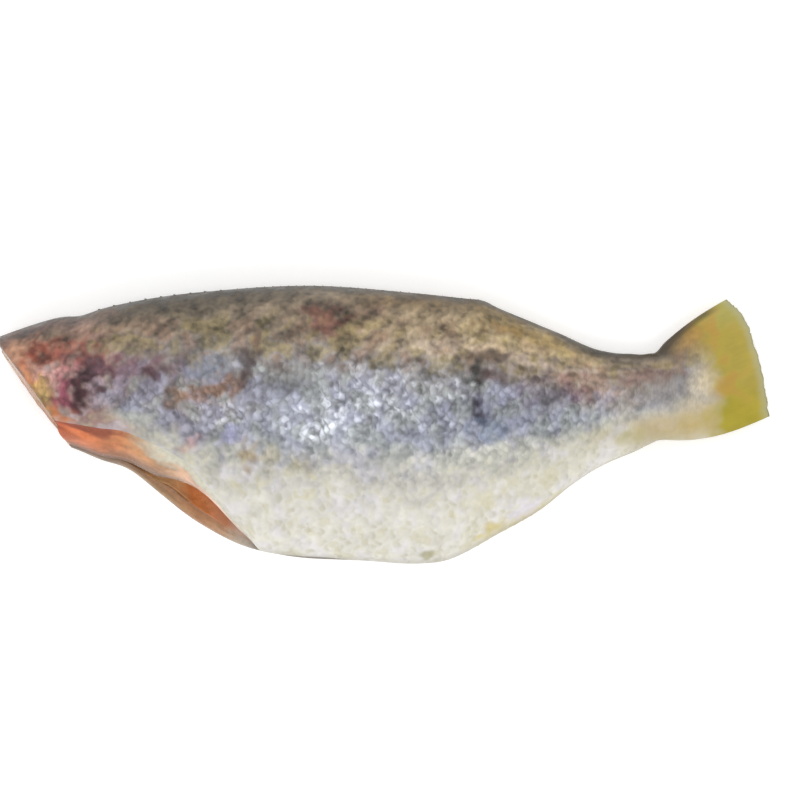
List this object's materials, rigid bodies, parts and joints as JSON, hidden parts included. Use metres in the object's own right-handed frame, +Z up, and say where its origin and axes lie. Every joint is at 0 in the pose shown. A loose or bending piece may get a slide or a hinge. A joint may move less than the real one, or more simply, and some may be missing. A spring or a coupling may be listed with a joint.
{
  "type": "headed and gutted raw fish",
  "caption": "Raw croaker without its head, gutted through a belly slit and trimmed of its fins but for the yellow tail, lying on its flank with the silvery side up",
  "frame": {"origin": "centre of the bounding box in plan, at the height of the table the fish lies on", "axes": "+X from the head cut to the tail, +Y from the belly to the back, +Z up from the table through the upper (left) flank"},
  "size_m": [0.23, 0.0828, 0.0344],
  "materials": {
    "skin": "wet scaly skin: olive brown back, silvery blue flank, cream belly"
  },
  "bodies": {
    "root": {"fish": "skin"}
  },
  "joints": []
}
